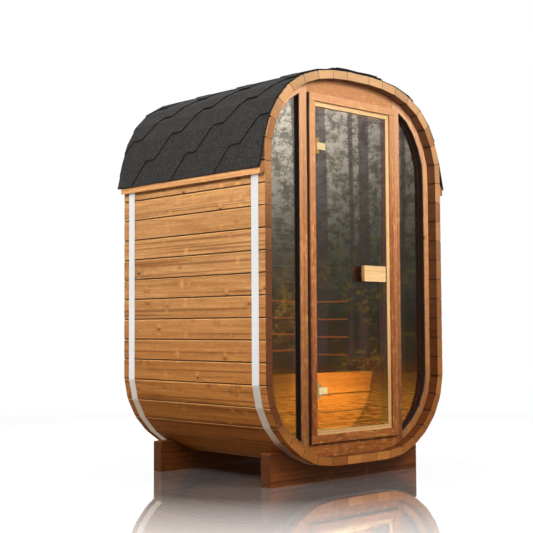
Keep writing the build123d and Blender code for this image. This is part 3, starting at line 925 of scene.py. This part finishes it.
def clampScrews():
    # one on each jaw at each place, all in one piece that swings with the door
    master = buttonScrew()
    copies = []
    for column in screw["columns"]:
        for level in screw["levels"]:
            for depth, turn in ((screw["frontY"], 0), (screw["backY"], math.pi)):
                copy = bpy.data.objects.new("clampScrew", master.data.copy())
                place = Matrix.Translation((column, depth, level))
                copy.data.transform(place @ Matrix.Rotation(turn, 4, "Z"))
                bpy.context.scene.collection.objects.link(copy)
                copies.append(copy)
    bpy.data.objects.remove(master)
    bpy.ops.object.select_all(action="DESELECT")
    for copy in copies:
        copy.select_set(True)
    bpy.context.view_layer.objects.active = copies[0]
    bpy.ops.object.join()
    joined = bpy.context.object
    joined.name = "clampScrews"
    bpy.ops.object.shade_smooth_by_angle(angle=math.radians(screw["smoothAngle"]))
    joined.data.materials.append(brassFinish("screwBrass", "e6c88a", "b8934e"))
    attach(joined, "door")


clampScrews()
print("screws set")

# Stage: pale floor, a wooded surround that only sharp reflections see, soft lamps and the camera

stage = {
    "floorHalf": 40.0,
    "floorDrop": 0.0005,
    "surroundRadius": 14.0,
    "surroundHeight": 10.0,
    "surroundSides": 48,
    "clearing": (8.0, -11.0, 0.0),
}
ground = {
    "paint": ((0.93, 0.93, 0.93, 1), (0.95, 0.95, 0.95, 1)),
    "paintNoise": (2.0, 2.0, 0.5),
    "leafNoise": (7.0, 5.0, 0.75),
    "mirrorTone": (0.97, 0.97, 0.97, 1),
    "mirrorRoughness": 0.03,
    "mirrorStart": 1.15,
    "mirrorEnd": 2.6,
    "mirrorNear": 0.95,
    "mirrorFar": 0.5,
    "fade": (2.4, 5.0),
    "white": (1, 1, 1, 1),
    "dull": (0.13, 0.075, 0.035, 1),
    "woodShade": (0.3, 0.19, 0.1, 1),
    "woodShadeReach": (1.6, 4.5),
    "woodShadeShare": 0.85,
    "soil": (0.3, 0.1, 0.01, 1),
    "leafGold": (3.2, 1.5, 0.2, 1),
    "leaves": (0.35, 0.65),
    "litter": (0.42, 0.19, 0.06, 1),
    "farther": (9.0, 15.0),
    "ragged": 6.0,
    "fartherShare": 0.75,
}


def rayIs(finish, kind):
    return finish.add("ShaderNodeLightPath", output="Is " + kind + " Ray")


def glowing(finish, colour, strength=1.0):
    return finish.add("ShaderNodeEmission", None, {"Color": colour, "Strength": strength})


def floorFinish():
    finish = Finish("paleFloor")
    place = objectPlace(finish)
    x, y, _ = split(finish, place)
    away = join(finish, x, y, 0.0)
    away = finish.add("ShaderNodeVectorMath", {"operation": "LENGTH"}, {0: away}, 1)
    paint = mixTones(finish, noise(finish, place, *ground["paintNoise"]), *ground["paint"])
    matt = finish.add("ShaderNodeBsdfDiffuse", None, {"Color": paint})
    values = {"Color": ground["mirrorTone"], "Roughness": ground["mirrorRoughness"]}
    mirror = finish.add("ShaderNodeBsdfAnisotropic", None, values)
    values = {
        "Value": away,
        "From Min": ground["mirrorStart"],
        "From Max": ground["mirrorEnd"],
        "To Min": ground["mirrorNear"],
        "To Max": ground["mirrorFar"],
    }
    polished = blend(finish, finish.add("ShaderNodeMapRange", None, values), matt, mirror)
    plain = blend(finish, soft(finish, away, *ground["fade"]), polished, glowing(finish, ground["white"]))
    # little light comes back up from it, so the tube's underside stays dark
    dull = finish.add("ShaderNodeBsdfDiffuse", None, {"Color": ground["dull"]})
    plain = blend(finish, rayIs(finish, "Diffuse"), plain, dull)
    # the steel and brass see the wood's shade in it
    near = rayIs(finish, "Glossy") * (1 - soft(finish, away, *ground["woodShadeReach"]))
    plain = blend(finish, near * ground["woodShadeShare"], plain, glowing(finish, ground["woodShade"]))
    # in the glass it shows as autumn ground
    leaves = noise(finish, place, *ground["leafNoise"])
    autumn = mixTones(finish, soft(finish, leaves, *ground["leaves"]), ground["soil"], ground["leafGold"])
    farther = soft(finish, away + leaves * ground["ragged"], *ground["farther"]) * ground["fartherShare"]
    autumn = mixTones(finish, farther, autumn, ground["litter"])
    sharp = rayIs(finish, "Singular") * rayIs(finish, "Glossy")
    shown = blend(finish, sharp, plain, glowing(finish, autumn))
    finish.add("ShaderNodeOutputMaterial", None, {"Surface": shown})
    return finish.material


woodland = {
    "heights": [
        (0.0, (0.14, 0.13, 0.07, 1)),
        (0.1, (0.14, 0.18, 0.13, 1)),
        (0.22, (0.46, 0.54, 0.46, 1)),
        (0.34, (1.25, 1.22, 1.05, 1)),
        (0.5, (2.6, 2.5, 2.2, 1)),
        (0.8, (4.6, 4.5, 4.3, 1)),
    ],
    "leaf": (0.16, 0.19, 0.1, 1),
    "leaves": (0.44, 0.56),
    "leafShare": 0.75,
    "bark": (0.3, 0.25, 0.26, 1),
    "barkShare": 0.75,
    "barkEdge": 0.03,
    # pitch, centre and half width of each row of trunks
    "trunks": ((1.17, -11.0, 0.07), (1.17, -10.6, 0.09), (0.94, -12.05, 0.025)),
    "lean": 0.3,
    "spray": (0.55, 0.5, 0.1, 1),
    "sprays": (0.54, 0.64),
    "sprayShare": 0.8,
    "sprayTop": (2.2, 4.0),
    "litterEdge": (1.2, 0.7),
    "litterRagged": 1.6,
    "bush": (1.1, 0.85, 0.14, 1),
    "bushes": (0.5, 0.6),
    "bushShare": 0.8,
    "bushTop": (2.6, 0.9),
    "bushClumps": (0.45, 0.6),
    "rust": (1.1, 0.45, 0.12, 1),
    "rusty": (0.58, 0.66),
    "rustShare": 0.7,
    "clearingReach": (0.4, 4.2),
    "sky": (1.8, 4.6),
    "skyStrength": 2.3,
    "clearingStrength": 0.6,
    "strength": 0.85,
}


# noise round the surround: stretch, shift, stretch upwards, depth, scale, detail and roughness
thicket = {
    "leaves": (1.0, 0.0, 1.0, 0.0, 5.0, 8.0, 0.85),
    "lean": (0.3, 0.0, 0.15, 2.0, 1.0, 1.0, 0.4),
    "sprays": (1.0, 7.0, 1.6, 5.0, 2.4, 8.0, 0.85),
    "bushes": (3.0, 2.0, 3.0, 9.0, 2.4, 6.0, 0.8),
    "clumps": (1.0, 0.0, 1.0, 4.0, 0.8, 2.0, 0.5),
    "rusty": (1.0, -4.0, 2.0, 1.0, 2.0, 8.0, 0.85),
}


def growth(finish, around, z, kind):
    stretch, shift, upwards, depth, scale, detail, roughness = thicket[kind]
    place = join(finish, around * stretch + shift, z * upwards, depth)
    return noise(finish, place, scale, detail, roughness)


def surroundFinish():
    finish = Finish("woodedSurround")
    x, y, z = split(finish, objectPlace(finish))
    around = y.math("ARCTAN2", x) * stage["surroundRadius"]
    height = z / stage["surroundHeight"]
    body = finish.add("ShaderNodeValToRGB", {"stops": woodland["heights"]}, {0: height})
    # leaves against the light, then trunks
    leaves = growth(finish, around, z, "leaves")
    leaves = soft(finish, leaves, *woodland["leaves"]) * woodland["leafShare"]
    body = mixTones(finish, leaves, body, woodland["leaf"])
    lean = growth(finish, around, z, "lean") * woodland["lean"]
    for pitch, centre, half in woodland["trunks"]:
        across = ((around + lean - centre) / pitch).math("FRACT") * pitch - pitch / 2
        stem = 1 - soft(finish, across.math("ABSOLUTE"), half, half + woodland["barkEdge"])
        body = mixTones(finish, stem * woodland["barkShare"], body, woodland["bark"])
    # lit sprays, fallen leaves, bushes and rusty twigs before them
    sprays = growth(finish, around, z, "sprays")
    lowDown = 1 - soft(finish, z, *woodland["sprayTop"])
    share = soft(finish, sprays, *woodland["sprays"]) * lowDown * woodland["sprayShare"]
    body = mixTones(finish, share, body, woodland["spray"])
    litter = soft(finish, z + sprays * woodland["litterRagged"], *woodland["litterEdge"])
    body = mixTones(finish, litter, body, ground["litter"])
    bushes = growth(finish, around, z, "bushes")
    clumps = growth(finish, around, z, "clumps")
    low = soft(finish, z, *woodland["bushTop"]) * soft(finish, clumps, *woodland["bushClumps"])
    share = soft(finish, bushes, *woodland["bushes"]) * low * woodland["bushShare"]
    body = mixTones(finish, share, body, woodland["bush"])
    rusty = growth(finish, around, z, "rusty")
    share = soft(finish, rusty, *woodland["rusty"]) * woodland["rustShare"]
    body = mixTones(finish, share, body, woodland["rust"])
    # brighter over the clearing
    values = {0: join(finish, x, y, 0.0), 1: stage["clearing"]}
    aside = finish.add("ShaderNodeVectorMath", {"operation": "DISTANCE"}, values, 1)
    gap = 1 - soft(finish, aside, *woodland["clearingReach"])
    strength = soft(finish, z, *woodland["sky"]) * woodland["skyStrength"] + woodland["clearingStrength"]
    strength = gap * strength + woodland["strength"]
    clear = finish.add("ShaderNodeBsdfTransparent")
    sharp = rayIs(finish, "Singular") * rayIs(finish, "Glossy")
    shown = blend(finish, sharp, clear, glowing(finish, body, strength))
    finish.add("ShaderNodeOutputMaterial", None, {"Surface": shown})
    return finish.material


bpy.ops.object.select_all(action="DESELECT")
bpy.ops.mesh.primitive_plane_add(size=2 * stage["floorHalf"], location=(0, 0, -stage["floorDrop"]))
floor = bpy.context.object
floor.name = "studioFloor"
floor.data.materials.append(floorFinish())

bpy.ops.object.select_all(action="DESELECT")
bpy.ops.mesh.primitive_cylinder_add(
    vertices=stage["surroundSides"],
    radius=stage["surroundRadius"],
    depth=stage["surroundHeight"],
    end_fill_type="NOTHING",
    location=(0, 0, stage["surroundHeight"] / 2),
)
surround = bpy.context.object
bpy.ops.object.transform_apply(location=True)
surround.name = "reflectedSurround"
surround.data.materials.append(surroundFinish())
surround.visible_camera = False
surround.visible_diffuse = False
surround.visible_transmission = False
surround.visible_volume_scatter = False
surround.visible_shadow = False

backdrop = {
    "light": (1.0, 0.98, 0.95, 1),
    "lightStrength": 0.2,
    "white": (1, 1, 1, 1),
}
world = bpy.data.worlds.new("studioWorld")
bpy.context.scene.world = world
sky = Finish("studioWorld", world)
direct = rayIs(sky, "Camera").math("MAXIMUM", rayIs(sky, "Glossy"))
direct = direct.math("MAXIMUM", rayIs(sky, "Transmission"))
values = {"Color": backdrop["light"], "Strength": backdrop["lightStrength"]}
lightSky = sky.add("ShaderNodeBackground", None, values)
whiteSky = sky.add("ShaderNodeBackground", None, {"Color": backdrop["white"], "Strength": 1.0})
sky.add("ShaderNodeOutputWorld", None, {"Surface": blend(sky, direct, lightSky, whiteSky)})

lamps = {
    "frontSoftbox": {
        "place": (0.1, -3.5, 3.1),
        "aim": (0.0, -0.6, 1.5),
        "size": (1.6, 1.2),
        "power": 140,
        "tint": (1.0, 0.97, 0.93),
    },
    "frontFill": {
        "place": (-2.0, -3.6, 2.2),
        "aim": (0.0, -0.6, 1.5),
        "size": (1.6, 1.6),
        "power": 50,
        "tint": (1.0, 0.98, 0.95),
    },
    "leftSoftbox": {
        "place": (-3.3, -0.2, 3.2),
        "aim": (-0.7, 0.0, 1.6),
        "size": (2.4, 1.2),
        "power": 165,
        "tint": (1.0, 0.97, 0.94),
    },
    "rightSoftbox": {
        "place": (2.8, 0.6, 4.0),
        "aim": (0.7, 0.0, 1.5),
        "size": (2.4, 1.4),
        "power": 130,
        "tint": (1.0, 0.98, 0.96),
    },
    "rearSoftbox": {
        "place": (0.0, 2.9, 3.8),
        "aim": (0.0, 0.6, 1.4),
        "size": (2.4, 1.4),
        "power": 130,
        "tint": (1.0, 0.98, 0.96),
    },
    "cabinLamp": {
        "place": (0.3, -0.36, 0.5),
        "aim": (0.34, -0.1, 0.34),
        "size": (0.5, 0.1),
        "power": 11,
        "tint": (1.0, 0.79, 0.4),
    },
}
for name, lamp in lamps.items():
    light = bpy.data.lights.new(name, "AREA")
    light.shape = "RECTANGLE"
    light.size, light.size_y = lamp["size"]
    light.energy = lamp["power"]
    light.color = lamp["tint"]
    bulb = bpy.data.objects.new(name, light)
    bpy.context.scene.collection.objects.link(bulb)
    bulb.location = lamp["place"]
    aim = Vector(lamp["aim"]) - Vector(lamp["place"])
    bulb.rotation_euler = aim.to_track_quat("-Z", "Y").to_euler()
    bulb.visible_glossy = False
    bulb.visible_camera = False
    bulb.visible_transmission = False

shot = {
    "place": (-4.4913, -4.6433, 0.8350),
    "yaw": 0.7537,
    "pitch": 0.0552,
    "roll": -0.0057,
    "lens": 73.498,
    "sensor": 36,
}
cameraData = bpy.data.cameras.new("photoCamera")
cameraData.sensor_width = shot["sensor"]
cameraData.lens = shot["lens"]
camera = bpy.data.objects.new("photoCamera", cameraData)
bpy.context.scene.collection.objects.link(camera)
camera.location = shot["place"]
aimed = Euler((math.pi / 2 + shot["pitch"], 0, -shot["yaw"])).to_matrix()
camera.rotation_euler = (aimed @ Matrix.Rotation(shot["roll"], 3, "Z")).to_euler()
bpy.context.scene.camera = camera
bpy.context.scene.view_settings.view_transform = "Standard"
print("stage, lamps and camera set")
